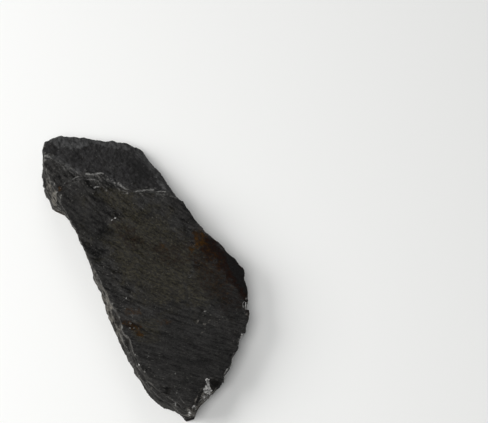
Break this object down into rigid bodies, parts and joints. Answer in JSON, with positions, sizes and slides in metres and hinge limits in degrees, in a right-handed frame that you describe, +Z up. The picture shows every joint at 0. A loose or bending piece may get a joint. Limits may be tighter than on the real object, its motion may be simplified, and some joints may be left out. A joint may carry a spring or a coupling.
{
  "type": "slate slab",
  "caption": "Elongated slab of riven black slate lying on its flat cleavage face, with layered broken sides, a stepped broken end and a pointed chipped end.",
  "frame": {"origin": "on the surface the slab rests on, under the middle of its box", "axes": "+Z up out of the weathered face, +Y along the slab towards its broken end, +X across it towards its undercut long side"},
  "size_m": [0.0856, 0.1764, 0.0182],
  "materials": {
    "slate": "riven slate, dark grey to black with a slight sheen, rust stains and paler broken edges"
  },
  "bodies": {
    "root": {"slab": "slate"}
  },
  "joints": []
}
